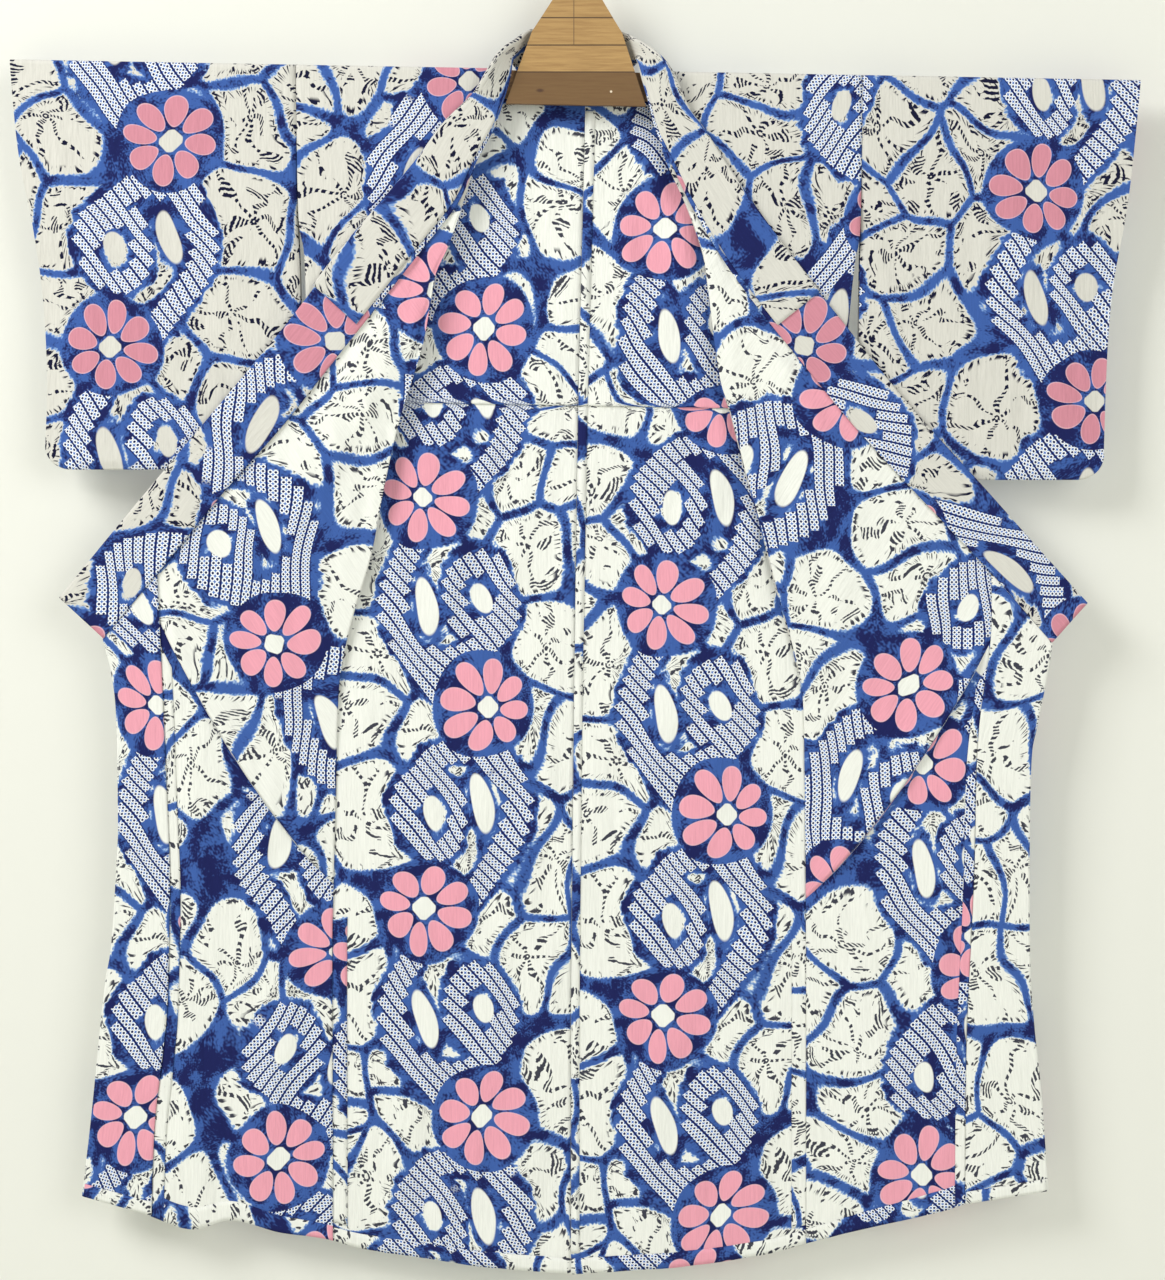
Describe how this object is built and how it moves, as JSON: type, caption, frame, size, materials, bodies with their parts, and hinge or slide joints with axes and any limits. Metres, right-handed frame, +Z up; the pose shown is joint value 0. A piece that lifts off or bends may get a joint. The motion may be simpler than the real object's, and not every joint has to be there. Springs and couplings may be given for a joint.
{
  "type": "cotton yukata robe on a wooden kimono hanger",
  "caption": "Tie-dyed cotton summer robe, both fronts opened out flat, on a tilted wooden bar hanger with a tapered neck board and a wire hook.",
  "frame": {"origin": "inside top of the hook's bend, where a rail or nail carries it", "axes": "+Z up, +X to the viewer's right when looking at the opened side, +Y away from that viewer, towards the back of the robe"},
  "size_m": [1.3086, 0.0557, 1.573],
  "materials": {
    "shibori_cotton": "matte crinkled cotton, tie-dyed white, indigo blue and pink",
    "bar_wood": "satin, darker brown planed wood",
    "board_wood": "satin, honey brown planed wood",
    "hook_steel": "plain steel wire"
  },
  "bodies": {
    "root": {"back_left": "shibori_cotton", "back_right": "shibori_cotton", "front_shoulder_left": "shibori_cotton", "front_shoulder_right": "shibori_cotton", "front_left": "shibori_cotton", "front_right": "shibori_cotton", "okumi_left": "shibori_cotton", "okumi_right": "shibori_cotton", "sleeve_left": "shibori_cotton", "sleeve_right": "shibori_cotton", "collar": "shibori_cotton", "over_collar": "shibori_cotton", "hanger_bar": "bar_wood", "hanger_board": "board_wood", "hanger_hook": "hook_steel"}
  },
  "joints": []
}
